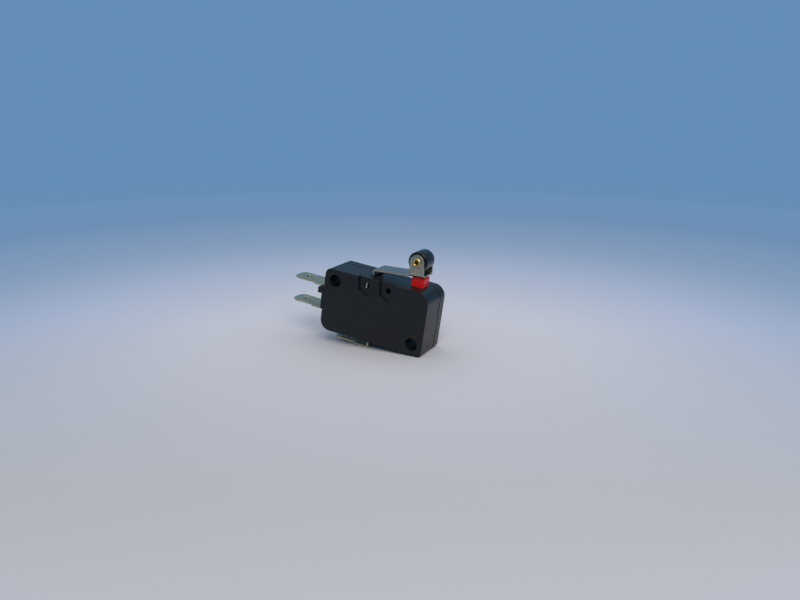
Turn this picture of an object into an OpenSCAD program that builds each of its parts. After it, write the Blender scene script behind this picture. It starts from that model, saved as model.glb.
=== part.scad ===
// Lever micro switch: a miniature snap-action switch with a short hinged roller lever,
// two quick-connect tabs at one end and a bent common tab underneath.
//
// Frame, in millimetres: X runs from the tab end to the plunger end, Y from the front face
// to the rear cover, Z up to the lever. The origin is the centre of the two-hole mounting
// pattern, half way through the thickness.

/* [Housing] */
// Length of the housing, end to end
body_l = 27.8; // [27.2:0.1:30]
// Height of the housing, bottom face to top face
body_h = 15.9; // [15.6:0.1:17]
// Thickness of the housing, front face to rear face
body_t = 10.3; // [10.1:0.1:11.5]
// Thickness of the rear cover, which meets the front case at the parting line
cover_t = 2.8; // [2.5:0.1:3.2]
// Wall behind each broad face
face_wall = 1.5; // [1.3:0.05:1.6]
// Wall along the four narrow sides
edge_wall = 1.2; // [1:0.05:1.3]
// Corner radius at the top of the plunger end
corner_plunger_top = 3; // [2.2:0.1:3.2]
// Corner radius at the bottom of the plunger end
corner_plunger_bottom = 1; // [0.6:0.1:1.6]
// Corner radius at the top of the tab end
corner_tab_top = 1.6; // [1:0.1:2.2]
// Corner radius at the bottom of the tab end
corner_tab_bottom = 2.6; // [1.6:0.1:3]
// Radius of the corners inside the case
inner_corner = 1; // [0.6:0.1:1]
// Width of the groove along the parting line
seam_w = 0.3; // [0.2:0.05:0.4]
// Depth of the groove along the parting line
seam_depth = 0.25; // [0.15:0.05:0.35]

/* [Mounting holes] */
// Distance between the two mounting holes along the length
hole_pitch_x = 22.2; // [21.8:0.1:22.6]
// Distance between the two mounting holes in height
hole_pitch_z = 10.3; // [10:0.1:10.6]
// Diameter of the mounting holes
hole_d = 3.1; // [2.9:0.05:3.3]
// Plastic round a mounting hole inside the case
boss_wall = 1.1; // [0.9:0.05:1.2]

/* [Cover pegs] */
// Diameter of the pegs that locate the cover in the case
peg_d = 1.2; // [0.9:0.1:1.4]
// Length of the pegs
peg_l = 1.8; // [1.2:0.1:2.6]
// Plastic round a peg socket
peg_wall = 0.7; // [0.5:0.05:0.8]

/* [Hinge seats] */
// Place of the lever's hinge axis along the length
hinge_x = -2.75; // [-3.2:0.05:-2.4]
// Depth of the hinge axis under the top face
hinge_drop = 2; // [1.9:0.05:2.3]
// Distance from the hinge seat in use to the spare one
seat_pitch = 5.75; // [5.3:0.05:6]
// Width of the U-shaped recess outside each seat
seat_w = 3.2; // [2.8:0.1:3.6]
// Height of the U-shaped recess, from the top face down
seat_h = 3.7; // [3.4:0.1:4.3]
// Depth of the U-shaped recess into the broad face
seat_recess = 0.5; // [0.3:0.05:0.6]

/* [Roller lever] */
// Thickness of the lever's sheet steel
lever_t = 0.4; // [0.3:0.05:0.5]
// Width of the lever, over the roller's ears
lever_w = 5.5; // [5.1:0.1:5.7]
// Height of the lever's bend over the top face
lever_lift = 1.6; // [1.5:0.05:2]
// Slope of the lever at rest, in degrees
lever_rise = 5.9; // [5:0.1:7]
// Distance from the bend to the free end, along the slope
lever_l = 13.1; // [12.6:0.1:14]
// Distance of the upright leg from the hinge axis, towards the plunger
leg_offset = 0.5; // [0.3:0.05:0.6]
// Length of the hinge trunnions, tip to tip
trunnion_l = 9.1; // [8.6:0.05:9.2]
// Height of a trunnion
trunnion_h = 1.2; // [1:0.05:1.3]
// Width of a roller ear
ear_w = 3.7; // [3.3:0.1:3.8]
// Height of the roller axis over the lever's middle plane
roller_lift = 3.4; // [3.2:0.05:3.8]
// Diameter of the roller
roller_d = 4.9; // [4.4:0.1:5.1]
// Diameter of the rivet that carries the roller
pin_d = 1.5; // [1.2:0.1:1.7]
// Diameter of the hollow down the rivet
pin_bore_d = 0.9; // [0.6:0.1:1]
// Diameter of the rolled-over ends of the rivet
pin_head_d = 2.2; // [2:0.1:2.6]
// Height of the rolled-over ends of the rivet
pin_head_t = 0.3; // [0.2:0.05:0.4]

/* [Plunger] */
// Place of the plunger along the length
plunger_x = 9.1; // [8.9:0.05:9.6]
// Size of the plunger along the length
plunger_w = 3.2; // [2.8:0.1:3.3]
// Size of the plunger through the thickness
plunger_d = 3.1; // [2.9:0.1:4.4]
// Radius of the plunger's rounded top
plunger_dome_r = 5; // [3.5:0.1:7]
// Radius of the nib that presses on the rocker
nib_r = 0.6; // [0.4:0.05:0.8]

/* [Terminals] */
// Thickness of the terminals' brass strip
strip_t = 0.5; // [0.4:0.05:0.6]
// Width of a quick-connect tab
tab_w = 4.8; // [4.6:0.1:5]
// Length of a quick-connect tab, tip to shoulder
tab_l = 6.3; // [5.8:0.1:6.6]
// Width of the strip behind the shoulder
shoulder_w = 6.2; // [5.8:0.1:6.4]
// Diameter of the hole in a tab
tab_hole_d = 1.4; // [1.2:0.1:1.6]
// Distance from a tab's tip to its hole
tab_hole_setback = 3.2; // [2.8:0.1:3.4]
// Reach of the two end tabs beyond the housing
tab_reach = 10.5; // [10:0.1:11.5]
// Height of the normally closed terminal over the origin
nc_z = 2.5; // [2.4:0.05:2.6]
// Depth of the normally open terminal under the origin
no_z = 3.5; // [3.4:0.05:3.7]
// Place of the common terminal's upright along the length
com_x = -1.2; // [-1.4:0.05:-1]
// Depth of the common tab's middle plane under the bottom face
com_drop = 2.1; // [1.8:0.1:2.6]
// Reach of the common tab from its upright to its tip
com_reach = 9.9; // [9.4:0.1:10.4]

/* [Terminal block] */
// Width of the block between the two end tabs
block_w = 8.3; // [7.9:0.1:8.6]
// Reach of the block beyond the housing
block_l = 1.1; // [0.8:0.1:1.5]
// Reach of the block's longer ledge under the upper tab
ledge_l = 2.2; // [1.8:0.1:2.6]
// Height of that ledge
ledge_h = 1.5; // [1.2:0.1:2]

/* [Snap mechanism] */
// Place of the contacts along the length
contact_x = -9.3; // [-9.5:0.05:-9.1]
// Diameter of the fixed contacts
fixed_contact_d = 3; // [2.6:0.1:3.2]
// Diameter of the moving contact
moving_contact_d = 2.6; // [2.2:0.1:2.8]
// Open gap under the moving contact
contact_gap = 1.1; // [1:0.05:1.2]
// Height of one side of the moving contact over its arm
moving_contact_h = 1; // [0.9:0.05:1.1]
// Thickness of the contact arm
arm_t = 0.4; // [0.3:0.05:0.5]
// Width of the contact arm
arm_w = 5; // [4.8:0.1:5.4]
// Width of the window in the arm and the fork that the spring lies in
window_w = 2.4; // [2.2:0.1:2.6]
// Thickness of the rocker
rocker_t = 0.5; // [0.4:0.05:0.6]
// Width of the rocker
rocker_w = 4.4; // [4:0.1:4.8]
// Outer diameter of the snap spring
spring_d = 1.7; // [1.5:0.05:1.8]
// Diameter of the spring wire
wire_d = 0.25; // [0.2:0.01:0.28]
// Turns in the spring's coil
spring_turns = 16; // [12:1:18]

/* [Fits] */
// Gap on each side between pieces that are fixed together
fit = 0.05; // [0.03:0.01:0.08]
// Gap on each side of a shaft or slide that moves
play = 0.08; // [0.05:0.01:0.1]
// Gap between faces that press on each other in use
touch = 0.08; // [0.05:0.01:0.12]

/* [Hidden] */
$fn = 64;
cut = 1; // how far a cutting shape runs past what it cuts

// Housing planes
end_x = body_l / 2;
top_z = body_h / 2;
face_y = body_t / 2;
seam_y = face_y - cover_t;
cavity_y = face_y - face_wall;
roof_z = top_z - edge_wall;
floor_z = -roof_z;

// Mounting holes: one high at the tab end, one low at the plunger end
hole_r = hole_d / 2;
boss_r = hole_r + boss_wall;
high_hole = [-hole_pitch_x / 2, hole_pitch_z / 2];
low_hole = [hole_pitch_x / 2, -hole_pitch_z / 2];

// Cover pegs: two against the floor and one against the roof
peg_boss_r = peg_d / 2 + peg_wall;
peg_edge = edge_wall + peg_wall;
roof_pegs = [[5.75, top_z - peg_edge]];
floor_pegs = [[5, -top_z + peg_edge], [-end_x + 2.9, -top_z + peg_edge + 0.4]];

// Lever
hinge_z = top_z - hinge_drop;
leg_x = hinge_x + leg_offset;
bend_z = top_z + lever_lift;
slope = [cos(lever_rise), sin(lever_rise)];
lever_end = [leg_x, bend_z] + lever_l * slope;
roller_u = lever_l - ear_w / 2;
roller_axis = [leg_x, bend_z] + roller_u * slope + roller_lift * [-slope[1], slope[0]];
ear_gap = lever_w - 2 * lever_t;
roller_w = ear_gap - 2 * play;
trunnion_r = norm([lever_t, trunnion_h]) / 2;
socket_r = trunnion_r + play;
lever_swing = 0.55; // sideways room for the leg in its slot as the lever turns

// Plunger
under_lever_z = bend_z + (plunger_x - leg_x) * tan(lever_rise) - lever_t / 2 / cos(lever_rise);
dome_z = under_lever_z - (plunger_dome_r + touch) / cos(lever_rise);
plunger_top = dome_z + plunger_dome_r;
keeper_z = roof_z - play;
keeper_h = 1.1;
keeper_reach = 0.8; // how far the foot that keeps the plunger in reaches under the roof
stem_w = 2.2;
stem_d = 2.8;

// Terminals
nc_under = nc_z - strip_t / 2;
no_over = -no_z + strip_t / 2;
tip_x = -end_x - tab_reach;
com_face = strip_t / 2;
com_tab_z = -top_z - com_drop;
bend_r = 0.5; // middle radius of every bend in the sheet metal

// Contact arm: it pivots on the fork of the common terminal
pivot_x = com_x - com_face - fit - arm_t / 2;
moving_top = arm_t / 2 + moving_contact_h;
window_x = contact_x + 2.3;
spring_r = (spring_d - wire_d) / 2;
arm_hook = [window_x - 0.45, 0];

// Rocker: it pivots in the corner between the common terminal and its shelf
shelf_top = -3.65;
shelf_w = 3.6;
rocker_pivot = [com_x + com_face + fit + rocker_t / 2, shelf_top + fit + rocker_t / 2];
rocker_post_x = 4.2;
rocker_low_z = -1.6;
rocker_high_z = 1.4;
rocker_end = [plunger_x + 0.8, 1.85];
rocker_hook = [rocker_post_x - 0.7, 0.45];
hook_hole_d = 0.55;
tongue_w = 1.2;
rocker_tilt = atan2(rocker_end[1] - rocker_high_z, rocker_end[0] - rocker_post_x);
rocker_top_z = rocker_high_z + (plunger_x - rocker_post_x) * tan(rocker_tilt)
    + rocker_t / 2 / cos(rocker_tilt);
nib_z = rocker_top_z + touch + nib_r;

// ---- Shared shapes ----

// Extrudes an outline drawn in X and Z from one Y to another
module along_y(from, to) {
    translate([0, to, 0]) rotate([90, 0, 0]) linear_extrude(to - from) children();
}

// Extrudes an outline drawn in X and Z symmetrically about the middle plane
module through_y(width) {
    along_y(-width / 2, width / 2) children();
}

// A round bar along Y
module bar_y(at, d, length) {
    translate([at[0], 0, at[1]]) rotate([90, 0, 0]) cylinder(d = d, h = length, center = true);
}

// What is cut away outside a rounded corner; right and up say which way the corner points
module corner_waste(at, r, right, up) {
    translate(at) mirror([right ? 0 : 1, 0]) mirror([0, up ? 0 : 1]) difference() {
        translate([-r, -r]) square(r + cut);
        translate([-r, -r]) circle(r);
    }
}

function unit(v) = v / norm(v);
function turned(v) = [-v[1], v[0]];

// Points of the arc that rounds the corner b of a path a-b-c at radius r
function rounded_corner(a, b, c, r, steps = 6) =
    let (
        back = unit(a - b),
        on = unit(c - b),
        half = acos(back * on) / 2,
        centre = b + unit(back + on) * r / sin(half),
        start = b + back * r / tan(half) - centre,
        from = atan2(start[1], start[0]),
        side = cross(b - a, c - b) > 0 ? 1 : -1
    )
    [for (i = [0:steps]) centre + r * [
        cos(from + side * (180 - 2 * half) * i / steps),
        sin(from + side * (180 - 2 * half) * i / steps)
    ]];

function rounded_path(points, r) = [
    points[0],
    for (i = [1:len(points) - 2]) each rounded_corner(points[i - 1], points[i], points[i + 1], r),
    points[len(points) - 1]
];

// Sideways direction at point i of a path, long enough to keep the sheet's thickness
function side_step(path, i) =
    let (
        last = len(path) - 1,
        before = i > 0 ? unit(path[i] - path[i - 1]) : unit(path[1] - path[0]),
        after = i < last ? unit(path[i + 1] - path[i]) : before,
        middle = unit(before + after)
    )
    turned(middle) / (middle * before);

// Edge-on outline of a bent sheet whose middle line follows the points
module bent_sheet(points, thickness, r = bend_r) {
    path = rounded_path(points, r);
    last = len(path) - 1;
    polygon(concat(
        [for (i = [0:last]) path[i] + side_step(path, i) * thickness / 2],
        [for (i = [last:-1:0]) path[i] - side_step(path, i) * thickness / 2]
    ));
}

// ---- Housing ----

module housing_outline(inset = 0) {
    x = end_x - inset;
    z = top_z - inset;
    difference() {
        square([2 * x, 2 * z], center = true);
        corner_waste([x, z], corner_plunger_top - inset, true, true);
        corner_waste([x, -z], corner_plunger_bottom - inset, true, false);
        corner_waste([-x, z], corner_tab_top - inset, false, true);
        corner_waste([-x, -z], corner_tab_bottom - inset, false, false);
    }
}

// Corner block round a mounting hole, rounded towards the inside of the case
module hole_boss(at, right, up) {
    translate(at) mirror([right ? 0 : 1, 0]) mirror([0, up ? 0 : 1]) {
        circle(boss_r);
        translate([-boss_r, 0]) square([boss_r + end_x, end_x]);
        translate([0, -boss_r]) square([end_x, boss_r + end_x]);
    }
}

module peg_boss(at, up) {
    translate(at) circle(peg_boss_r);
    translate(at) mirror([0, up ? 0 : 1]) translate([-peg_boss_r, 0])
        square([2 * peg_boss_r, peg_edge]);
}

module cavity_outline() {
    difference() {
        square([2 * (end_x - edge_wall), 2 * roof_z], center = true);
        for (right = [false, true], up = [false, true])
            corner_waste([(right ? 1 : -1) * (end_x - edge_wall), (up ? 1 : -1) * roof_z],
                inner_corner, right, up);
        hole_boss(high_hole, false, true);
        hole_boss(low_hole, true, false);
        for (at = roof_pegs) peg_boss(at, true);
        for (at = floor_pegs) peg_boss(at, false);
    }
}

module seat_outline() {
    r = seat_w / 2;
    translate([-r, top_z - seat_h + r]) square([seat_w, seat_h]);
    translate([0, top_z - seat_h + r]) circle(r);
}

// Slot for the lever's leg through the roof, with a socket for each trunnion
module hinge_seat(offset_x) {
    leg_left = hinge_x - lever_t / 2 - play;
    leg_right = leg_x + lever_t / 2 + lever_swing;
    translate([offset_x, 0, 0]) {
        translate([leg_left, -lever_w / 2 - play, roof_z - cut])
            cube([leg_right - leg_left, lever_w + 2 * play, edge_wall + 2 * cut]);
        bar_y([hinge_x, hinge_z], 2 * socket_r, body_t);
        for (y = [-face_y - cut, face_y - seat_recess])
            along_y(y, y + seat_recess + cut) translate([hinge_x, 0]) seat_outline();
    }
}

// Path of an end terminal's strip through the wall, with its fit
module strip_slot(z) {
    w = shoulder_w + 2 * fit;
    h = strip_t + 2 * fit;
    translate([-end_x - ledge_l - cut, -w / 2, z - h / 2])
        cube([ledge_l + cut + edge_wall + 2 * boss_r, w, h]);
}

// Block that stands out between the two end tabs
module terminal_block() {
    low = no_over + fit;
    high = nc_under - fit;
    translate([-end_x - block_l, -block_w / 2, low]) cube([block_l + edge_wall, block_w, high - low]);
    translate([-end_x - ledge_l, -block_w / 2, high - ledge_h])
        cube([ledge_l + edge_wall, block_w, ledge_h]);
}

// Both shells in one piece, before they are parted along the seam
module housing() {
    difference() {
        union() {
            through_y(body_t) housing_outline();
            terminal_block();
        }
        through_y(2 * cavity_y) cavity_outline();
        along_y(seam_y - seam_w / 2, seam_y + seam_w / 2) difference() {
            square([body_l + cut, body_h + cut], center = true);
            housing_outline(seam_depth);
            translate([-end_x - cut, no_over + fit]) square([edge_wall + cut, nc_under - no_over - 2 * fit]);
        }
        for (at = [high_hole, low_hole]) bar_y(at, hole_d, body_t + cut);
        for (offset_x = [0, seat_pitch]) hinge_seat(offset_x);
        translate([plunger_x, 0, top_z])
            cube([plunger_w + 2 * play, plunger_d + 2 * play, 2 * edge_wall + cut], center = true);
        translate([com_x, 0, -top_z])
            cube([strip_t + 2 * fit, shoulder_w + 2 * fit, 2 * edge_wall + cut], center = true);
        strip_slot(nc_z);
        strip_slot(-no_z);
    }
}

module shell_side(from, to) {
    intersection() {
        housing();
        along_y(from, to) square([3 * body_l, 3 * body_h], center = true);
    }
}

module pegs(d, length) {
    for (at = concat(roof_pegs, floor_pegs))
        translate([at[0], seam_y, at[1]]) rotate([90, 0, 0]) cylinder(d = d, h = length);
}

module front_case() {
    color("#1d2021") difference() {
        shell_side(-face_y, seam_y);
        pegs(peg_d + 2 * fit, peg_l + play);
    }
}

module rear_cover() {
    color("#1b1e1f") union() {
        shell_side(seam_y, face_y);
        pegs(peg_d, peg_l);
    }
}

// ---- Roller lever ----

// Puts an outline drawn along the lever's slope and square to it in its place
module on_slope() {
    translate([leg_x, bend_z]) rotate(lever_rise) children();
}

module ear_outline() {
    on_slope() difference() {
        union() {
            translate([roller_u, roller_lift]) circle(d = ear_w);
            translate([roller_u - ear_w / 2, -lever_t / 2]) square([ear_w, roller_lift + lever_t / 2]);
        }
        translate([roller_u, roller_lift]) circle(d = pin_d + 2 * fit);
    }
}

// Folded channel that the two ears are the sides of
module ear_channel() {
    y = (lever_w - lever_t) / 2;
    tall = roller_lift + ear_w;
    translate([leg_x, 0, bend_z]) rotate([0, -lever_rise, 0])
        translate([roller_u - ear_w / 2, 0, 0]) rotate([90, 0, 90])
            linear_extrude(ear_w) bent_sheet([[-y, tall], [-y, 0], [y, 0], [y, tall]], lever_t, 0.4);
}

module roller_lever() {
    jog_z = hinge_z + trunnion_h / 2;
    color("#b9b4ac") union() {
        through_y(lever_w) bent_sheet([
            [hinge_x, hinge_z],
            [hinge_x, jog_z],
            [leg_x, jog_z + 0.8],
            [leg_x, bend_z],
            [leg_x, bend_z] + (roller_u - ear_w / 2) * slope
        ], lever_t, 0.3);
        through_y(trunnion_l) translate([hinge_x, hinge_z])
            square([lever_t, trunnion_h], center = true);
        intersection() {
            ear_channel();
            through_y(lever_w + cut) ear_outline();
        }
    }
}

// ---- Roller and its rivet ----

module roller() {
    rim = 0.2;
    color("#16191b") translate([roller_axis[0], 0, roller_axis[1]]) rotate([90, 0, 0])
        translate([0, 0, -roller_w / 2]) rotate_extrude() polygon([
            [pin_d / 2 + play, 0],
            [roller_d / 2 - rim, 0],
            [roller_d / 2, rim],
            [roller_d / 2, roller_w - rim],
            [roller_d / 2 - rim, roller_w],
            [pin_d / 2 + play, roller_w]
        ]);
}

module roller_rivet() {
    long = lever_w / 2 + fit + pin_head_t;
    color("#b89b52") translate([roller_axis[0], 0, roller_axis[1]]) rotate([90, 0, 0])
        rotate_extrude() polygon([
            [pin_bore_d / 2, -long],
            [pin_head_d / 2 - pin_head_t, -long],
            [pin_head_d / 2, -long + pin_head_t],
            [pin_d / 2, -long + pin_head_t],
            [pin_d / 2, long - pin_head_t],
            [pin_head_d / 2, long - pin_head_t],
            [pin_head_d / 2 - pin_head_t, long],
            [pin_bore_d / 2, long]
        ]);
}

// ---- Plunger ----

module plunger() {
    left = plunger_x - plunger_w / 2;
    front = -plunger_d / 2;
    low = keeper_z - keeper_h;
    color("#b3130f") union() {
        intersection() {
            translate([left, front, low]) cube([plunger_w, plunger_d, plunger_top - low]);
            bar_y([plunger_x, dome_z], 2 * plunger_dome_r, body_t);
        }
        translate([left, front - keeper_reach, low])
            cube([plunger_w, plunger_d + 2 * keeper_reach, keeper_h]);
        translate([plunger_x - stem_w / 2, -stem_d / 2, nib_z])
            cube([stem_w, stem_d, low - nib_z + keeper_h / 2]);
        bar_y([plunger_x, nib_z], 2 * nib_r, stem_d);
    }
}

// ---- Terminals ----

// Flat shape of a tab, tip at the origin, with its shoulder and the strip behind it
module tab_outline(strip_l) {
    tip_cut = 1;
    difference() {
        union() {
            polygon([
                [0, -tab_w / 2 + tip_cut],
                [tip_cut, -tab_w / 2],
                [tab_l + cut, -tab_w / 2],
                [tab_l + cut, tab_w / 2],
                [tip_cut, tab_w / 2],
                [0, tab_w / 2 - tip_cut]
            ]);
            translate([tab_l, -shoulder_w / 2]) square([strip_l - tab_l, shoulder_w]);
        }
        translate([tab_hole_setback, 0]) circle(d = tab_hole_d);
    }
}

// A tab and its strip, with the tip thinned to lead into a receptacle
module tab_strip(strip_l) {
    lead_l = 0.8;
    lead_t = 0.24;
    intersection() {
        translate([0, 0, -strip_t / 2]) linear_extrude(strip_t) tab_outline(strip_l);
        through_y(shoulder_w + cut) polygon([
            [0, -lead_t / 2],
            [lead_l, -strip_t / 2],
            [strip_l, -strip_t / 2],
            [strip_l, strip_t / 2],
            [lead_l, strip_t / 2],
            [0, lead_t / 2]
        ]);
    }
}

module end_terminal(z) {
    strip_l = contact_x + fixed_contact_d / 2 + 0.3 - tip_x;
    color("#9fb0a6") difference() {
        translate([tip_x, 0, z]) tab_strip(strip_l);
        translate([contact_x, 0, z]) cylinder(r = shank_r + fit, h = strip_t + cut, center = true);
    }
}

module nc_terminal() { end_terminal(nc_z); }
module no_terminal() { end_terminal(-no_z); }

// Common terminal: tab, bend, upright with a fork at its top, and a shelf lanced out of it
module com_terminal() {
    fork_top = 0.9;
    fork_low = -1.6;
    fork_w = 5.2;
    shelf_l = 1.5;
    keeper_top = floor_z + 0.8;
    flat_l = com_reach - bend_r;
    color("#9fb0a6") union() {
        translate([com_x - com_reach, 0, com_tab_z]) tab_strip(flat_l);
        through_y(shoulder_w) bent_sheet([
            [com_x - bend_r - 0.01, com_tab_z],
            [com_x, com_tab_z],
            [com_x, floor_z]
        ], strip_t, bend_r - 0.01);
        translate([com_x - strip_t / 2, 0, 0]) rotate([90, 0, 90]) linear_extrude(strip_t)
            difference() {
                union() {
                    keeper_w = shoulder_w + 0.7;
                    translate([-keeper_w / 2, floor_z]) square([keeper_w, keeper_top - floor_z]);
                    translate([-fork_w / 2, floor_z]) square([fork_w, fork_top - floor_z]);
                }
                translate([-window_w / 2, fork_low]) square([window_w, fork_top - fork_low + cut]);
                translate([-shelf_w / 2, shelf_top - strip_t - shelf_l])
                    square([shelf_w, shelf_l]);
            }
        translate([com_x, -shelf_w / 2, shelf_top - strip_t])
            cube([strip_t / 2 + shelf_l, shelf_w, strip_t]);
    }
}

// ---- Contacts ----

shank_r = 0.7;

// Rivet contact: its head lies against a strip, its shank fills the strip's hole
module fixed_contact(strip_z, head_h, down) {
    color("#c9ccc8") translate([contact_x, 0, strip_z]) mirror([0, 0, down ? 1 : 0]) {
        translate([0, 0, strip_t / 2]) cylinder(d = fixed_contact_d, h = head_h);
        translate([0, 0, -strip_t / 2]) cylinder(r = shank_r, h = strip_t + fit);
    }
}

module nc_contact() { fixed_contact(nc_z, nc_under - moving_top - fit, true); }
module no_contact() { fixed_contact(-no_z, -moving_top - contact_gap - no_over, false); }

module moving_contact() {
    dome_r = 3.2;
    color("#c9ccc8") translate([contact_x, 0, 0]) union() {
        for (up = [0, 1]) mirror([0, 0, up]) intersection() {
            translate([0, 0, arm_t / 2]) cylinder(d = moving_contact_d, h = moving_contact_h);
            translate([0, 0, moving_top - dome_r]) sphere(dome_r);
        }
        cylinder(r = shank_r, h = arm_t + 2 * fit, center = true);
    }
}

// ---- Snap mechanism ----

// Contact arm: a flat frame whose two legs end on the fork
module contact_arm() {
    left = contact_x - moving_contact_d / 2 - 0.2;
    color("#b8773a") difference() {
        union() {
            translate([left, -arm_w / 2, -arm_t / 2]) cube([pivot_x - left, arm_w, arm_t]);
            bar_y([pivot_x, 0], arm_t, arm_w);
        }
        translate([window_x, -window_w / 2, -cut])
            cube([pivot_x - window_x + cut, window_w, 2 * cut]);
        translate([contact_x, 0, 0]) cylinder(r = shank_r + fit, h = arm_t + cut, center = true);
        translate([arm_hook[0], 0, 0]) cylinder(d = hook_hole_d, h = arm_t + cut, center = true);
    }
}

// Rocker: the plunger presses its long end, and the spring pulls on the tongue of its post
module rocker() {
    tongue_l = rocker_post_x - rocker_hook[0] + 0.45;
    tongue_low = rocker_hook[1] - rocker_t / 2;
    color("#b8773a") difference() {
        union() {
            through_y(rocker_w) bent_sheet([
                rocker_pivot,
                [rocker_post_x, rocker_low_z],
                [rocker_post_x, rocker_high_z],
                rocker_end
            ], rocker_t);
            bar_y(rocker_pivot, rocker_t, rocker_w);
            translate([rocker_post_x - tongue_l, -tongue_w / 2, tongue_low])
                cube([tongue_l, tongue_w, rocker_t]);
        }
        translate([rocker_post_x - rocker_t, -tongue_w / 2, tongue_low - tongue_l])
            cube([2 * rocker_t, tongue_w, tongue_l]);
        translate([rocker_hook[0], 0, rocker_hook[1]])
            cylinder(d = hook_hole_d, h = rocker_t + cut, center = true);
    }
}

// Middle line of the snap spring: a hook, the coil and a hook, from the arm to the rocker.
// Each point is [along the spring, across it in Y, across it upwards].
function hook_points(at, side) = [for (i = [0:6]) let (a = 90 - 25 * i)
    [at + side * spring_r * (1 - cos(a)), 0, spring_r * sin(a)]];

function reversed(list) = [for (i = [len(list) - 1:-1:0]) list[i]];

function spring_line(length) =
    let (
        coil_l = length - 2 * spring_r,
        steps = 12 * spring_turns
    )
    concat(
        reversed(hook_points(0, 1)),
        [for (i = [1:steps - 1]) let (a = 360 * spring_turns * i / steps)
            [spring_r + coil_l * i / steps, spring_r * sin(a), spring_r * cos(a)]],
        hook_points(length, -1)
    );

// Sweeps a five-sided wire along a line of points
module wire(line) {
    sides = 5;
    last = len(line) - 1;
    rings = [for (i = [0:last])
        let (
            ahead = unit(line[min(i + 1, last)] - line[max(i - 1, 0)]),
            across = unit(cross(ahead, [0, 0.12, 1] - ahead * (ahead * [0, 0.12, 1]) == [0, 0, 0]
                ? [1, 0, 0] : [0, 0.12, 1])),
            out = cross(across, ahead)
        )
        for (k = [0:sides - 1])
            line[i] + wire_d / 2 * (cos(360 * k / sides) * across + sin(360 * k / sides) * out)];
    polyhedron(rings, concat(
        [[for (k = [0:sides - 1]) k]],
        [for (i = [0:last - 1], k = [0:sides - 1]) let (n = (k + 1) % sides)
            each [[i * sides + k, (i + 1) * sides + k, i * sides + n],
                  [i * sides + n, (i + 1) * sides + k, (i + 1) * sides + n]]],
        [[for (k = [sides - 1:-1:0]) last * sides + k]]
    ));
}

module snap_spring() {
    run = rocker_hook - arm_hook;
    color("#8d9196") translate([arm_hook[0], 0, arm_hook[1]])
        rotate([0, -atan2(run[1], run[0]), 0]) wire(spring_line(norm(run)));
}

front_case();
rear_cover();
plunger();
roller_lever();
roller();
roller_rivet();
com_terminal();
nc_terminal();
no_terminal();
nc_contact();
no_contact();
moving_contact();
contact_arm();
rocker();
snap_spring();
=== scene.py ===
"""A lever micro switch: black moulded housing, red plunger, stainless roller lever and three plated tabs."""

from math import cos, pi, radians, sin

import bmesh
import bpy
from mathutils import Matrix, Vector


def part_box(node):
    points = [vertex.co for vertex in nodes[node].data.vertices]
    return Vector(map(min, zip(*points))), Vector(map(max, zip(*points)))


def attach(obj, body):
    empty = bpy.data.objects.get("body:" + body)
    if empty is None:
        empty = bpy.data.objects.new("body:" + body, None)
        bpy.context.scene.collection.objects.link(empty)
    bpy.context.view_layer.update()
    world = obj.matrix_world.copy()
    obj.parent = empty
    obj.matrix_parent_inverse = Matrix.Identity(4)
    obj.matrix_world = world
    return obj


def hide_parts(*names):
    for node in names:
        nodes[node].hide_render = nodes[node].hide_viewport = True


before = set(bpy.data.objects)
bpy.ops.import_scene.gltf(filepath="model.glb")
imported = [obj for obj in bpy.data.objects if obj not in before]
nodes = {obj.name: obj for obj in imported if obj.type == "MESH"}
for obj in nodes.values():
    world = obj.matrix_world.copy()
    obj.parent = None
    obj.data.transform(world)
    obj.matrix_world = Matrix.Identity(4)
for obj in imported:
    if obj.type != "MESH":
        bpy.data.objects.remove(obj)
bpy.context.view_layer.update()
mm = 0.001

# ---- Housing ----
# Two injection-moulded shells of black glass-filled nylon, a deep front case and a shallow rear
# cover, which meet along a fine groove and are closed by moulded pegs. Their faces carry a fine
# eroded grain, and their edges have gone a little grey from handling.


def new_group(name, inputs, outputs):
    """Starts a shader node group and returns it with a function that adds and joins nodes."""
    tree = bpy.data.node_groups.new(name, "ShaderNodeTree")
    for label, start in inputs:
        kind = "NodeSocketColor" if isinstance(start, tuple) else "NodeSocketFloat"
        socket = tree.interface.new_socket(name=label, in_out="INPUT", socket_type=kind)
        socket.default_value = start
    for label, kind in outputs:
        tree.interface.new_socket(name=label, in_out="OUTPUT", socket_type=kind)
    return tree, node_adder(tree)


def node_adder(tree):
    """Gives a function that adds one node: settings as keywords, links and values as a dict."""

    def add(kind, wires=None, **settings):
        node = tree.nodes.new(kind)
        for key, value in settings.items():
            setattr(node, key, value)
        for label, value in (wires or {}).items():
            socket = node.inputs[label]
            if isinstance(value, bpy.types.NodeSocket):
                tree.links.new(value, socket)
            else:
                socket.default_value = value
        return node

    return add


def blend_colours(add, mask, below, above):
    """Puts the colour above over the colour below where the mask is 1."""
    mix = add("ShaderNodeMix", {0: mask, 6: below, 7: above}, data_type="RGBA")
    return mix.outputs[2]


def fit_range(add, value, low, high, to_low, to_high):
    """Turns a pattern's value into the range that a socket needs."""
    spread = add(
        "ShaderNodeMapRange",
        {"Value": value, "From Min": low, "From Max": high, "To Min": to_low, "To Max": to_high},
    )
    return spread.outputs["Result"]


def scaled(add, stretch):
    """The piece's own coordinates, in cells of a metre, stretched along each axis."""
    place = add("ShaderNodeTexCoord").outputs["Object"]
    return add(
        "ShaderNodeVectorMath", {0: place, 1: stretch}, operation="MULTIPLY"
    ).outputs["Vector"]


def plus(add, first, second, operation="ADD"):
    return add("ShaderNodeMath", {0: first, 1: second}, operation=operation).outputs[0]


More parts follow.
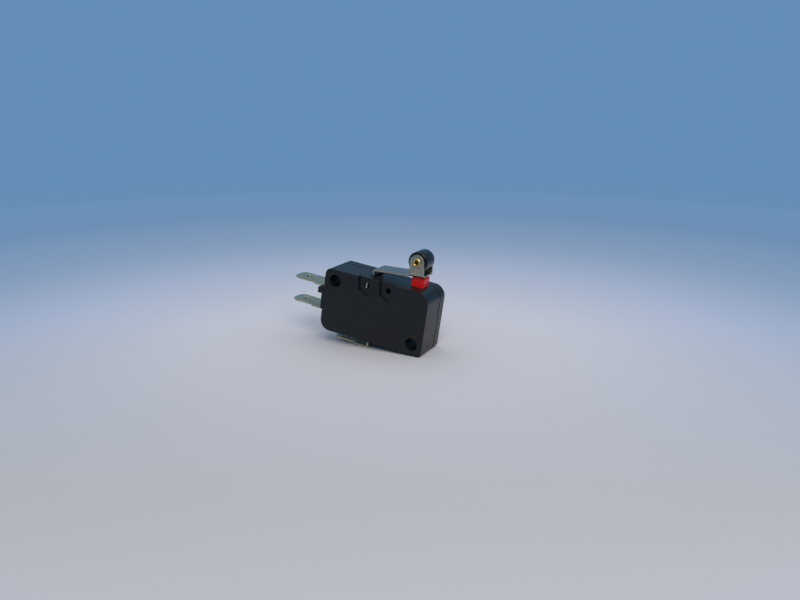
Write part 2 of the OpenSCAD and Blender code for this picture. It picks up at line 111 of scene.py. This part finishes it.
grain, add = new_group(
    "Moulded grain",
    [("Grain size", 0.00012), ("Orange peel size", 0.0011), ("Seed", 0.0)],
    [("Height", "NodeSocketFloat"), ("Mottle", "NodeSocketFloat"), ("Fleck", "NodeSocketFloat")],
)
given = add("NodeGroupInput")
given_out = add("NodeGroupOutput")
spot = scaled(add, (1.0, 1.0, 1.0))
fine_cells = plus(add, 1.0, given.outputs["Grain size"], "DIVIDE")
peel_cells = plus(add, 1.0, given.outputs["Orange peel size"], "DIVIDE")
fine = add(
    "ShaderNodeTexNoise",
    {"Vector": spot, "Scale": fine_cells, "Detail": 2.0, "W": given.outputs["Seed"]},
    noise_dimensions="4D",
)
peel = add(
    "ShaderNodeTexNoise",
    {"Vector": spot, "Scale": peel_cells, "Detail": 1.0, "W": given.outputs["Seed"]},
    noise_dimensions="4D",
)
patches = add(
    "ShaderNodeTexNoise",
    {"Vector": spot, "Scale": 260.0, "Detail": 4.0, "Roughness": 0.6, "W": given.outputs["Seed"]},
    noise_dimensions="4D",
)
fibres = add("ShaderNodeTexVoronoi", {"Vector": spot, "Scale": 2600.0}, feature="F1")
height = plus(add, fine.outputs["Fac"], plus(add, peel.outputs["Fac"], 1.6, "MULTIPLY"))
grain.links.new(height, given_out.inputs["Height"])
grain.links.new(fit_range(add, patches.outputs["Fac"], 0.3, 0.7, 0.0, 1.0), given_out.inputs["Mottle"])
grain.links.new(
    fit_range(add, fibres.outputs["Distance"], 0.16, 0.05, 0.0, 1.0), given_out.inputs["Fleck"]
)

wear, add = new_group(
    "Edge wear",
    [("Edge width", 0.00012), ("Amount", 0.5), ("Breakup size", 0.0007)],
    [("Worn", "NodeSocketFloat")],
)
given = add("NodeGroupInput")
given_out = add("NodeGroupOutput")
rounded = add("ShaderNodeBevel", {"Radius": given.outputs["Edge width"]}, samples=4)
facing = add("ShaderNodeNewGeometry")
turn = add(
    "ShaderNodeVectorMath",
    {0: rounded.outputs["Normal"], 1: facing.outputs["Normal"]},
    operation="DOT_PRODUCT",
)
at_edge = fit_range(add, turn.outputs["Value"], 0.985, 0.86, 0.0, 1.0)
breakup_cells = plus(add, 1.0, given.outputs["Breakup size"], "DIVIDE")
breakup = add(
    "ShaderNodeTexNoise",
    {"Vector": scaled(add, (1.0, 1.0, 1.0)), "Scale": breakup_cells, "Detail": 5.0, "Roughness": 0.65},
)
rubbed = fit_range(add, breakup.outputs["Fac"], 0.4, 0.62, 0.15, 1.0)
worn = plus(add, plus(add, at_edge, rubbed, "MULTIPLY"), given.outputs["Amount"], "MULTIPLY")
wear.links.new(worn, given_out.inputs["Worn"])

dust, add = new_group(
    "Handling dust",
    [("Speck size", 0.0004), ("Amount", 0.3)],
    [("Dusty", "NodeSocketFloat"), ("Smudge", "NodeSocketFloat")],
)
given = add("NodeGroupInput")
given_out = add("NodeGroupOutput")
spot = scaled(add, (1.0, 1.0, 1.0))
speck_cells = plus(add, 1.0, given.outputs["Speck size"], "DIVIDE")
specks = add("ShaderNodeTexVoronoi", {"Vector": spot, "Scale": speck_cells}, feature="F1")
sparse = add("ShaderNodeTexNoise", {"Vector": spot, "Scale": 420.0, "Detail": 3.0})
speck = fit_range(add, specks.outputs["Distance"], 0.13, 0.04, 0.0, 1.0)
where = fit_range(add, sparse.outputs["Fac"], 0.52, 0.68, 0.0, 1.0)
film = add(
    "ShaderNodeTexNoise",
    {"Vector": spot, "Scale": 170.0, "Detail": 6.0, "Roughness": 0.7, "Distortion": 0.6},
)
haze = fit_range(add, film.outputs["Fac"], 0.45, 0.75, 0.0, 1.0)
dusty = plus(add, plus(add, speck, where, "MULTIPLY"), given.outputs["Amount"], "MULTIPLY")
dust.links.new(dusty, given_out.inputs["Dusty"])
dust.links.new(haze, given_out.inputs["Smudge"])


def use_group(add, tree, wires):
    """Places a node group in a material with its own values."""
    placed = add("ShaderNodeGroup", node_tree=tree)
    for label, value in wires.items():
        placed.inputs[label].default_value = value
    return placed.outputs


def new_finish(name):
    """An empty material with its surface shader, and the adder for its nodes."""
    finish = bpy.data.materials.new(name)
    finish.use_nodes = True
    return finish, node_adder(finish.node_tree), finish.node_tree.nodes["Principled BSDF"]


def wire_up(finish, shader, **wires):
    """Joins patterns to the surface shader's sockets; spaces in labels are written as _."""
    for label, value in wires.items():
        socket = shader.inputs[label.replace("_", " ")]
        if isinstance(value, bpy.types.NodeSocket):
            finish.node_tree.links.new(value, socket)
        else:
            socket.default_value = value


def join_faces(piece):
    """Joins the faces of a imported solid, which come in apart."""
    weld = piece.modifiers.new("join faces", "WELD")
    weld.merge_threshold = 0.000002


def soften_edges(piece, width, segments=2):
    """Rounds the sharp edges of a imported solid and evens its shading."""
    rim = piece.modifiers.new("broken edges", "BEVEL")
    rim.width = width
    rim.segments = segments
    rim.limit_method = "ANGLE"
    rim.angle_limit = radians(38)
    rim.use_clamp_overlap = False
    rim.miter_outer = "MITER_ARC"
    piece.modifiers.new("even shading", "WEIGHTED_NORMAL")


def give_finish(piece, finish):
    for slot in piece.material_slots:
        slot.material = finish


def black_case_plastic():
    finish, add, shader = new_finish("black case plastic")
    texture = use_group(add, grain, {"Grain size": 0.00013, "Orange peel size": 0.0012})
    worn = use_group(add, wear, {"Edge width": 0.0001, "Amount": 0.55})["Worn"]
    dirt = use_group(add, dust, {"Amount": 0.32})
    black = blend_colours(
        add, texture["Mottle"], (0.0045, 0.0058, 0.006, 1), (0.007, 0.0088, 0.009, 1)
    )
    flecked = blend_colours(
        add, plus(add, texture["Fleck"], 0.2, "MULTIPLY"), black, (0.03, 0.032, 0.032, 1)
    )
    rubbed = blend_colours(add, worn, flecked, (0.052, 0.056, 0.058, 1))
    dusted = blend_colours(add, dirt["Dusty"], rubbed, (0.21, 0.2, 0.19, 1))
    dull = fit_range(add, texture["Mottle"], 0.0, 1.0, 0.27, 0.34)
    smeared = plus(add, dull, plus(add, dirt["Smudge"], 0.08, "MULTIPLY"))
    bump = add(
        "ShaderNodeBump", {"Height": texture["Height"], "Strength": 0.5, "Distance": 0.000008}
    )
    wire_up(finish, shader, Base_Color=dusted, Roughness=smeared, Normal=bump.outputs[0])
    shader.inputs["Specular IOR Level"].default_value = 0.3
    return finish


def prism(name, outline, along, reach):
    """A hidden shape that carves or fills a shell: an outline run along the X or the Y axis."""
    low, high = reach
    mesh = bpy.data.meshes.new(name)
    solid = bmesh.new()
    ends = []
    for place in (low, high):
        points = [(place, a, b) if along == "X" else (a, place, b) for a, b in outline]
        ends.append([solid.verts.new(point) for point in points])
        solid.faces.new(ends[-1])
    count = len(outline)
    for k in range(count):
        after = (k + 1) % count
        solid.faces.new((ends[0][k], ends[0][after], ends[1][after], ends[1][k]))
    bmesh.ops.recalc_face_normals(solid, faces=solid.faces)
    solid.to_mesh(mesh)
    solid.free()
    shape = bpy.data.objects.new(name, mesh)
    shape.hide_render = True
    bpy.context.scene.collection.objects.link(shape)
    return shape


def seat_recess_outline(centre_x, top_z, half_w, flare, bottom_z, steps=20):
    """A U that opens a little wider towards the top face, with a round bottom."""
    low_centre = bottom_z + half_w
    round_end = [
        (centre_x - half_w * cos(pi * k / steps), low_centre - half_w * sin(pi * k / steps))
        for k in range(steps + 1)
    ]
    over = top_z + 0.5 * mm
    return [(centre_x - half_w - flare, over)] + round_end + [(centre_x + half_w + flare, over)]


def apply_shape(piece, shape, operation):
    carve = piece.modifiers.new(shape.name, "BOOLEAN")
    carve.object = shape
    carve.operation = operation
    carve.solver = "EXACT"


case_plastic = black_case_plastic()
case_low, case_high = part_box("front_case")
cover_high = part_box("rear_cover")[1]
case_top = case_high.z
hinge_x = -2.75 * mm
seat_places = (hinge_x, hinge_x + 5.75 * mm)
recess = 0.75 * mm
seam_y, seam_w, seam_depth = 2.35 * mm, 0.3 * mm, 0.25 * mm
roof_t = 1.2 * mm
leg_slot_x = (2.72 * mm, 4.25 * mm)
leg_slot_y = 2.83 * mm
over_edge = 0.2 * mm
faces = {
    "front_case": (case_low.y - 0.5 * mm, case_low.y + recess),
    "rear_cover": (cover_high.y - recess, cover_high.y + 0.5 * mm),
}
roof = {
    "front_case": [
        (-leg_slot_y - over_edge, case_top - roof_t),
        (seam_y, case_top - roof_t),
        (seam_y, case_top - seam_depth),
        (seam_y - seam_w / 2, case_top - seam_depth),
        (seam_y - seam_w / 2, case_top),
        (-leg_slot_y - over_edge, case_top),
    ],
    "rear_cover": [
        (seam_y, case_top - roof_t),
        (leg_slot_y + over_edge, case_top - roof_t),
        (leg_slot_y + over_edge, case_top),
        (seam_y + seam_w / 2, case_top),
        (seam_y + seam_w / 2, case_top - seam_depth),
        (seam_y, case_top - seam_depth),
    ],
}
for shell in ("front_case", "rear_cover"):
    give_finish(nodes[shell], case_plastic)
    join_faces(nodes[shell])
    skin = prism(
        f"{shell}_roof_skin",
        roof[shell],
        "X",
        (leg_slot_x[0] - over_edge, leg_slot_x[1] + over_edge),
    )
    apply_shape(nodes[shell], skin, "UNION")
    for side, seat_x in zip(("hinge", "spare"), seat_places):
        outline = seat_recess_outline(seat_x, case_top, 2.0 * mm, 0.3 * mm, case_top - 4.35 * mm)
        hollow = prism(f"{shell}_{side}_recess", outline, "Y", faces[shell])
        apply_shape(nodes[shell], hollow, "DIFFERENCE")
    soften_edges(nodes[shell], 0.06 * mm)

# ---- Terminals ----
# Quick-connect tabs punched from plated brass strip. The two end ones lie flat in slots of the
# housing; the common one is bent up through the floor. The plating has dulled unevenly and the
# rolling lines of the strip run along each tab.

sheet_lines, add = new_group(
    "Rolled sheet",
    [("Line width", 0.00006), ("Line length", 0.005)],
    [("Lines", "NodeSocketFloat"), ("Scratches", "NodeSocketFloat"), ("Clouds", "NodeSocketFloat")],
)
given = add("NodeGroupInput")
given_out = add("NodeGroupOutput")
along = plus(add, 1.0, given.outputs["Line length"], "DIVIDE")
across = plus(add, 1.0, given.outputs["Line width"], "DIVIDE")
cells = add("ShaderNodeCombineXYZ", {"X": along, "Y": across, "Z": across})
place = add("ShaderNodeTexCoord").outputs["Object"]
drawn = add("ShaderNodeVectorMath", {0: place, 1: cells.outputs[0]}, operation="MULTIPLY")
lines = add("ShaderNodeTexNoise", {"Vector": drawn.outputs[0], "Scale": 1.0, "Detail": 3.0})
skewed = add(
    "ShaderNodeMapping",
    {"Vector": scaled(add, (700.0, 5200.0, 5200.0)), "Rotation": (0.0, 0.12, 0.35)},
)
scuffs = add("ShaderNodeTexNoise", {"Vector": skewed.outputs[0], "Scale": 1.0, "Detail": 2.0})
clouds = add(
    "ShaderNodeTexNoise",
    {"Vector": scaled(add, (300.0, 520.0, 520.0)), "Scale": 1.0, "Detail": 5.0, "Roughness": 0.6},
)
sheet_lines.links.new(lines.outputs["Fac"], given_out.inputs["Lines"])
sheet_lines.links.new(
    fit_range(add, scuffs.outputs["Fac"], 0.62, 0.72, 0.0, 1.0), given_out.inputs["Scratches"]
)
sheet_lines.links.new(
    fit_range(add, clouds.outputs["Fac"], 0.35, 0.68, 0.0, 1.0), given_out.inputs["Clouds"]
)


def plated_terminal_brass():
    finish, add, shader = new_finish("plated terminal brass")
    rolled = use_group(add, sheet_lines, {"Line width": 0.00007, "Line length": 0.006})
    worn = use_group(add, wear, {"Edge width": 0.00009, "Amount": 0.7})["Worn"]
    plating = blend_colours(
        add, rolled["Clouds"], (0.47, 0.46, 0.31, 1), (0.33, 0.33, 0.2, 1)
    )
    streaked = blend_colours(
        add, plus(add, rolled["Lines"], 0.3, "MULTIPLY"), plating, (0.6, 0.57, 0.46, 1)
    )
    brassy = blend_colours(add, worn, streaked, (0.66, 0.54, 0.3, 1))
    dull = plus(
        add,
        fit_range(add, rolled["Lines"], 0.3, 0.7, 0.24, 0.36),
        plus(add, rolled["Clouds"], 0.1, "MULTIPLY"),
    )
    bump = add("ShaderNodeBump", {"Height": rolled["Lines"], "Strength": 0.6, "Distance": 0.000004})
    wire_up(finish, shader, Base_Color=brassy, Roughness=dull, Normal=bump.outputs[0])
    shader.inputs["Metallic"].default_value = 1.0
    return finish


terminal_plating = plated_terminal_brass()
for terminal in ("com_terminal", "nc_terminal", "no_terminal"):
    give_finish(nodes[terminal], terminal_plating)
    join_faces(nodes[terminal])
    soften_edges(nodes[terminal], 0.05 * mm)

# ---- Contacts ----
# Silver rivets headed into the terminals and the arm, slightly domed by use and dull with
# sulphide round the rim.


def contact_silver():
    finish, add, shader = new_finish("contact silver")
    rolled = use_group(add, sheet_lines, {"Line width": 0.0001, "Line length": 0.0003})
    worn = use_group(add, wear, {"Edge width": 0.00015, "Amount": 0.8})["Worn"]
    silver = blend_colours(add, rolled["Clouds"], (0.74, 0.73, 0.7, 1), (0.45, 0.42, 0.36, 1))
    tarnished = blend_colours(add, worn, silver, (0.3, 0.27, 0.22, 1))
    dull = fit_range(add, rolled["Clouds"], 0.0, 1.0, 0.25, 0.5)
    wire_up(finish, shader, Base_Color=tarnished, Roughness=dull)
    shader.inputs["Metallic"].default_value = 1.0
    return finish


silver = contact_silver()
for contact in ("nc_contact", "no_contact", "moving_contact"):
    give_finish(nodes[contact], silver)
    join_faces(nodes[contact])
    soften_edges(nodes[contact], 0.04 * mm)

# ---- Snap mechanism ----
# A contact arm and a rocker of hard copper alloy strip pivot on the common terminal, and a small
# coil spring of steel wire between them snaps the arm over.


def spring_copper():
    finish, add, shader = new_finish("spring copper")
    rolled = use_group(add, sheet_lines, {"Line width": 0.00005, "Line length": 0.004})
    copper = blend_colours(add, rolled["Clouds"], (0.72, 0.38, 0.22, 1), (0.5, 0.25, 0.13, 1))
    scuffed = blend_colours(
        add, plus(add, rolled["Scratches"], 0.5, "MULTIPLY"), copper, (0.8, 0.5, 0.34, 1)
    )
    dull = fit_range(add, rolled["Lines"], 0.3, 0.7, 0.2, 0.34)
    wire_up(finish, shader, Base_Color=scuffed, Roughness=dull)
    shader.inputs["Metallic"].default_value = 1.0
    return finish


def spring_wire():
    finish, add, shader = new_finish("spring wire")
    rolled = use_group(add, sheet_lines, {"Line width": 0.00003, "Line length": 0.0004})
    steel = blend_colours(add, rolled["Clouds"], (0.42, 0.42, 0.42, 1), (0.3, 0.28, 0.25, 1))
    dull = fit_range(add, rolled["Lines"], 0.3, 0.7, 0.22, 0.35)
    wire_up(finish, shader, Base_Color=steel, Roughness=dull)
    shader.inputs["Metallic"].default_value = 1.0
    return finish


copper_strip = spring_copper()
for strip in ("contact_arm", "rocker"):
    give_finish(nodes[strip], copper_strip)
    join_faces(nodes[strip])
    soften_edges(nodes[strip], 0.04 * mm)
give_finish(nodes["snap_spring"], spring_wire())

# ---- Plunger ----
# The red button that the lever presses down, moulded in a bright thermoplastic with a domed top
# and polished a little where the lever rubs it.


def red_plunger_plastic():
    finish, add, shader = new_finish("red plunger plastic")
    texture = use_group(add, grain, {"Grain size": 0.00009, "Orange peel size": 0.0009, "Seed": 3.0})
    worn = use_group(add, wear, {"Edge width": 0.00012, "Amount": 0.35})["Worn"]
    dirt = use_group(add, dust, {"Amount": 0.12})
    red = blend_colours(add, texture["Mottle"], (0.6, 0.005, 0.003, 1), (0.68, 0.009, 0.006, 1))
    rubbed = blend_colours(add, worn, red, (0.75, 0.05, 0.035, 1))
    dusted = blend_colours(add, dirt["Dusty"], rubbed, (0.5, 0.25, 0.22, 1))
    dull = fit_range(add, texture["Mottle"], 0.0, 1.0, 0.26, 0.36)
    bump = add(
        "ShaderNodeBump", {"Height": texture["Height"], "Strength": 0.3, "Distance": 0.000006}
    )
    wire_up(finish, shader, Base_Color=dusted, Roughness=dull, Normal=bump.outputs[0])
    shader.inputs["Specular IOR Level"].default_value = 0.35
    return finish


give_finish(nodes["plunger"], red_plunger_plastic())
join_faces(nodes["plunger"])
soften_edges(nodes["plunger"], 0.1 * mm, 3)

# ---- Roller lever ----
# One blank of stainless strip: a leg with two trunnions that sit in the hinge seats, a sloping
# plate, and two ears folded up at its end to carry the roller. Edges are as punched, with the
# bright sheared band showing.


def stainless_lever():
    finish, add, shader = new_finish("stainless lever sheet")
    rolled = use_group(add, sheet_lines, {"Line width": 0.00005, "Line length": 0.009})
    worn = use_group(add, wear, {"Edge width": 0.00008, "Amount": 0.9})["Worn"]
    steel = blend_colours(add, rolled["Clouds"], (0.42, 0.375, 0.29, 1), (0.33, 0.295, 0.22, 1))
    scuffed = blend_colours(
        add, plus(add, rolled["Scratches"], 0.35, "MULTIPLY"), steel, (0.6, 0.56, 0.48, 1)
    )
    sheared = blend_colours(add, worn, scuffed, (0.72, 0.7, 0.66, 1))
    dull = plus(
        add,
        fit_range(add, rolled["Lines"], 0.3, 0.7, 0.2, 0.34),
        plus(add, rolled["Clouds"], 0.06, "MULTIPLY"),
    )
    bump = add("ShaderNodeBump", {"Height": rolled["Lines"], "Strength": 0.5, "Distance": 0.000003})
    wire_up(finish, shader, Base_Color=sheared, Roughness=dull, Normal=bump.outputs[0])
    shader.inputs["Metallic"].default_value = 1.0
    return finish


give_finish(nodes["roller_lever"], stainless_lever())
join_faces(nodes["roller_lever"])
soften_edges(nodes["roller_lever"], 0.05 * mm)

# ---- Roller ----
# A small wheel of black nylon, turned smooth on its tread, with rounded rims, a shallow ring in
# each side and a plain bore that runs on the rivet.


def lathe(name, outline, centre, steps=96):
    """Turns an outline of (radius, place along Y) points round an axis along Y at the centre."""
    mesh = bpy.data.meshes.new(name)
    solid = bmesh.new()
    rings = [
        [
            solid.verts.new((
                centre.x + r * cos(2 * pi * k / steps), centre.y + y, centre.z + r * sin(2 * pi * k / steps)
            ))
            for k in range(steps)
        ]
        for r, y in outline
    ]
    for ring, after in zip(rings, rings[1:] + rings[:1]):
        for k in range(steps):
            solid.faces.new((ring[k], ring[(k + 1) % steps], after[(k + 1) % steps], after[k]))
    bmesh.ops.recalc_face_normals(solid, faces=solid.faces)
    for face in solid.faces:
        face.smooth = True
    solid.to_mesh(mesh)
    solid.free()
    piece = bpy.data.objects.new(name, mesh)
    bpy.context.scene.collection.objects.link(piece)
    return piece


def quarter(corner_r, corner_y, radius, start, steps=5):
    """Points of a rounded rim: a quarter circle about (corner_r, corner_y) from a start angle."""
    return [
        (
            corner_r + radius * cos(radians(start + 90 * k / steps)),
            corner_y + radius * sin(radians(start + 90 * k / steps)),
        )
        for k in range(steps + 1)
    ]


turned_marks, add = new_group(
    "Turned marks",
    [("Axis X", 0.0), ("Axis Z", 0.0), ("Mark width", 0.00006)],
    [("Rings", "NodeSocketFloat"), ("Blotches", "NodeSocketFloat")],
)
given = add("NodeGroupInput")
given_out = add("NodeGroupOutput")
axes = add("ShaderNodeSeparateXYZ", {0: add("ShaderNodeTexCoord").outputs["Object"]})
out_x = plus(add, axes.outputs["X"], given.outputs["Axis X"], "SUBTRACT")
out_z = plus(add, axes.outputs["Z"], given.outputs["Axis Z"], "SUBTRACT")
squares = plus(add, plus(add, out_x, out_x, "MULTIPLY"), plus(add, out_z, out_z, "MULTIPLY"))
reach = plus(add, squares, 0.5, "POWER")
marks = plus(add, 1.0, given.outputs["Mark width"], "DIVIDE")
spun = add(
    "ShaderNodeCombineXYZ",
    {"X": plus(add, reach, marks, "MULTIPLY"), "Y": plus(add, axes.outputs["Y"], marks, "MULTIPLY")},
)
rings = add("ShaderNodeTexNoise", {"Vector": spun.outputs[0], "Scale": 1.0, "Detail": 2.0})
blotches = add(
    "ShaderNodeTexNoise",
    {"Vector": scaled(add, (900.0, 900.0, 900.0)), "Scale": 1.0, "Detail": 5.0, "Roughness": 0.65},
)
turned_marks.links.new(rings.outputs["Fac"], given_out.inputs["Rings"])
turned_marks.links.new(
    fit_range(add, blotches.outputs["Fac"], 0.35, 0.65, 0.0, 1.0), given_out.inputs["Blotches"]
)

roller_low, roller_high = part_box("roller")
roller_centre = (roller_low + roller_high) / 2
roller_r = (roller_high.x - roller_low.x) / 2
roller_half = (roller_high.y - roller_low.y) / 2
rim_r = 0.28 * mm
bore_r = 0.83 * mm
ring_low, ring_high, ring_depth = 1.15 * mm, 1.85 * mm, 0.12 * mm
side = [
    (bore_r, roller_half - 0.1 * mm),
    (bore_r + 0.1 * mm, roller_half),
    (ring_low, roller_half),
    (ring_low + 0.06 * mm, roller_half - ring_depth),
    (ring_high - 0.06 * mm, roller_half - ring_depth),
    (ring_high, roller_half),
]
near_rim = [
    (r, y) for r, y in reversed(quarter(roller_r - rim_r, roller_half - rim_r, rim_r, 0, 6))
]
right_half = side + near_rim
roller_wheel = lathe(
    "roller_wheel", right_half + [(r, -y) for r, y in reversed(right_half)], roller_centre
)


def black_roller_nylon():
    finish, add, shader = new_finish("black roller nylon")
    turned = use_group(
        add,
        turned_marks,
        {"Axis X": roller_centre.x, "Axis Z": roller_centre.z, "Mark width": 0.00007},
    )
    worn = use_group(add, wear, {"Edge width": 0.00016, "Amount": 0.4})["Worn"]
    dirt = use_group(add, dust, {"Amount": 0.2})
    black = blend_colours(
        add, turned["Blotches"], (0.004, 0.005, 0.0055, 1), (0.0065, 0.008, 0.009, 1)
    )
    rubbed = blend_colours(add, worn, black, (0.045, 0.05, 0.053, 1))
    dusted = blend_colours(add, dirt["Dusty"], rubbed, (0.2, 0.19, 0.18, 1))
    gloss = plus(
        add,
        fit_range(add, turned["Rings"], 0.3, 0.7, 0.14, 0.22),
        plus(add, turned["Blotches"], 0.06, "MULTIPLY"),
    )
    bump = add("ShaderNodeBump", {"Height": turned["Rings"], "Strength": 0.4, "Distance": 0.000004})
    wire_up(finish, shader, Base_Color=dusted, Roughness=gloss, Normal=bump.outputs[0])
    shader.inputs["Specular IOR Level"].default_value = 0.3
    return finish


roller_wheel.data.materials.append(black_roller_nylon())
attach(roller_wheel, "roller")
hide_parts("roller")

# ---- Rivet ----
# A hollow brass rivet through both ears. Its ends are rolled over into smooth lips, which keep a
# dark film in the hollow and shine on the crown.

rivet_low, rivet_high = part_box("roller_rivet")
rivet_centre = (rivet_low + rivet_high) / 2
rivet_half = (rivet_high.y - rivet_low.y) / 2
lip_r = (rivet_high.x - rivet_low.x) / 2
lip_h = 0.3 * mm
stem_r = 0.75 * mm
hollow_r = 0.45 * mm
crown_r = (lip_r - hollow_r) / 2
end = [(hollow_r, rivet_half - 2.2 * lip_h), (hollow_r, rivet_half - lip_h)]
end += [
    (
        hollow_r + crown_r - crown_r * cos(radians(angle)),
        rivet_half - lip_h + lip_h * sin(radians(angle)),
    )
    for angle in range(15, 180, 15)
]
end += [(lip_r, rivet_half - lip_h), (stem_r, rivet_half - lip_h)]
brass_rivet = lathe("brass_rivet", end + [(r, -y) for r, y in reversed(end)], rivet_centre, 64)


def rivet_brass():
    finish, add, shader = new_finish("rivet brass")
    turned = use_group(
        add,
        turned_marks,
        {"Axis X": rivet_centre.x, "Axis Z": rivet_centre.z, "Mark width": 0.00005},
    )
    brass = blend_colours(add, turned["Blotches"], (0.63, 0.47, 0.19, 1), (0.42, 0.29, 0.1, 1))
    dull = plus(
        add,
        fit_range(add, turned["Rings"], 0.3, 0.7, 0.22, 0.34),
        plus(add, turned["Blotches"], 0.1, "MULTIPLY"),
    )
    bump = add("ShaderNodeBump", {"Height": turned["Rings"], "Strength": 0.4, "Distance": 0.000004})
    wire_up(finish, shader, Base_Color=brass, Roughness=dull, Normal=bump.outputs[0])
    shader.inputs["Metallic"].default_value = 1.0
    return finish


brass_rivet.data.materials.append(rivet_brass())
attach(brass_rivet, "lever")
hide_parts("roller_rivet")

# ---- Table ----
# A broad disc of pale paper that the switch stands on, resting on the bend of its common tab and on
# the low corner of the plunger end. The paper turns from lilac white to steel blue further off: the
# lilac white round the switch is a painted pool of light, and further off the paper glows with its
# colour as painted light that runs on into the blue room.

floor_tilt = radians(8.43)
floor_up = Vector((-sin(floor_tilt), 0, cos(floor_tilt)))
foot_r = 1.0 * mm
foot_centre = Vector((12.9 * mm, 0, -6.95 * mm))
low_corner = foot_centre - floor_up * foot_r
paper_r = 900 * mm
paper = bpy.data.meshes.new("paper")
sheet = bmesh.new()
bmesh.ops.create_circle(sheet, cap_ends=True, radius=paper_r, segments=128)
sheet.transform(Matrix.Translation(low_corner) @ Matrix.Rotation(-floor_tilt, 4, "Y"))
sheet.to_mesh(paper)
sheet.free()
table_top = bpy.data.objects.new("table_top", paper)
bpy.context.scene.collection.objects.link(table_top)


def paper_with_painted_light():
    finish, add, shader = new_finish("pale paper")
    reach = add("ShaderNodeVectorMath", {0: scaled(add, (1.0, 1.0, 1.0))}, operation="LENGTH")
    far = fit_range(add, reach.outputs["Value"], 0.0, 0.4, 0.0, 1.0)
    # Painted pool of light: the ramp is lilac white round the switch and turns to the steel blue of the room
    # further off.
    paper_and_light_pool = add("ShaderNodeValToRGB", {"Fac": far})
    stops = paper_and_light_pool.color_ramp.elements
    stops[0].position, stops[0].color = 0.0, (0.68, 0.625, 0.62, 1)
    stops[1].position, stops[1].color = 1.0, (0.125, 0.268, 0.46, 1)
    for place, colour in (
        (0.11, (0.66, 0.63, 0.655, 1)),
        (0.24, (0.5, 0.54, 0.65, 1)),
        (0.37, (0.33, 0.425, 0.57, 1)),
        (0.55, (0.19, 0.32, 0.51, 1)),
        (0.8, (0.135, 0.275, 0.467, 1)),
    ):
        stops.new(place).color = colour
    # The paper is coloured a darker grey on the side towards the camera, close to the switch.
    ahead = add(
        "ShaderNodeVectorMath",
        {0: scaled(add, (1.0, 1.0, 1.0)), 1: (0.39, -0.92, 0.0)},
        operation="DOT_PRODUCT",
    )
    nearer = fit_range(add, ahead.outputs["Value"], -0.02, 0.08, 0.0, 1.0)
    close_by = fit_range(add, reach.outputs["Value"], 0.1, 0.2, 1.0, 0.0)
    greyed = blend_colours(
        add,
        plus(add, nearer, close_by, "MULTIPLY"),
        paper_and_light_pool.outputs["Color"],
        (0.47, 0.455, 0.455, 1),
    )
    fibre = add(
        "ShaderNodeTexNoise", {"Vector": scaled(add, (1.0, 1.0, 1.0)), "Scale": 900.0, "Detail": 4.0}
    )
    bump = add("ShaderNodeBump", {"Height": fibre.outputs["Fac"], "Strength": 0.15, "Distance": 0.00002})
    wire_up(finish, shader, Base_Color=greyed, Normal=bump.outputs[0], Roughness=0.85)
    shader.inputs["Specular IOR Level"].default_value = 0.1
    # Painted light: from about 0.13 m out the paper glows with its own colour instead of being lit, and
    # fully so from 0.3 m on.
    painted_glow = add("ShaderNodeEmission", {"Color": greyed, "Strength": 1.0})
    glow_fade = fit_range(add, reach.outputs["Value"], 0.13, 0.3, 0.0, 1.0)
    seen = add("ShaderNodeMixShader", {0: glow_fade, 1: shader.outputs[0], 2: painted_glow.outputs[0]})
    finish.node_tree.links.new(seen.outputs[0], finish.node_tree.nodes["Material Output"].inputs[0])
    return finish


paper.materials.append(paper_with_painted_light())

# ---- Light ----
# One large soft box high on the right, a weaker one on the left, and a dim blue room that turns
# bright overhead.


def soft_box(name, place, size, watts, colour):
    lamp = bpy.data.lights.new(name, "AREA")
    lamp.shape = "RECTANGLE"
    lamp.size, lamp.size_y = size
    lamp.energy = watts
    lamp.color = colour
    holder = bpy.data.objects.new(name, lamp)
    holder.location = place
    holder.rotation_mode = "QUATERNION"
    holder.rotation_quaternion = (-Vector(place)).to_track_quat("-Z", "Y")
    bpy.context.scene.collection.objects.link(holder)


soft_box("key_soft_box", (0.12, -0.24, 0.25), (0.2, 0.2), 0.78, (1.0, 0.965, 0.92))
soft_box("fill_soft_box", (-0.2, 0.16, 0.3), (0.2, 0.2), 0.12, (0.97, 0.98, 1.0))

room = bpy.data.worlds.new("studio")
room.use_nodes = True
bpy.context.scene.world = room
add = node_adder(room.node_tree)
way = add("ShaderNodeSeparateXYZ", {0: add("ShaderNodeTexCoord").outputs["Generated"]})
sky = add("ShaderNodeValToRGB", {"Fac": way.outputs["Z"]})
stops = sky.color_ramp.elements
stops[0].position, stops[0].color = 0.0, (0.125, 0.268, 0.46, 1)
stops[1].position, stops[1].color = 1.0, (0.8, 0.83, 0.87, 1)
stops.new(0.45).color = (0.125, 0.268, 0.46, 1)
stops.new(0.8).color = (0.55, 0.62, 0.7, 1)
backdrop = room.node_tree.nodes["Background"]
room.node_tree.links.new(sky.outputs["Color"], backdrop.inputs["Color"])

# ---- Camera ----
# A normal lens close over the table, looking at the front face from the plunger end.

turn, rise, roll = radians(23.14), radians(18.27), radians(8.01)
back = Vector((sin(turn) * cos(rise), -cos(turn) * cos(rise), sin(rise)))
level = Vector((cos(turn), sin(turn), 0))
right = cos(roll) * level + sin(roll) * back.cross(level)
up = back.cross(right)
lens = bpy.data.cameras.new("camera")
lens.lens, lens.sensor_width = 36, 36
lens.clip_start, lens.clip_end = 0.005, 10
camera = bpy.data.objects.new("camera", lens)
distance, shift_right, shift_up = 197 * mm, 4.43 * mm, 1.77 * mm
camera.matrix_world = Matrix.Translation(
    distance * back + shift_right * right + shift_up * up
) @ Matrix((right, up, back)).transposed().to_4x4()
bpy.context.scene.collection.objects.link(camera)
bpy.context.scene.camera = camera
bpy.context.scene.view_settings.view_transform = "Standard"
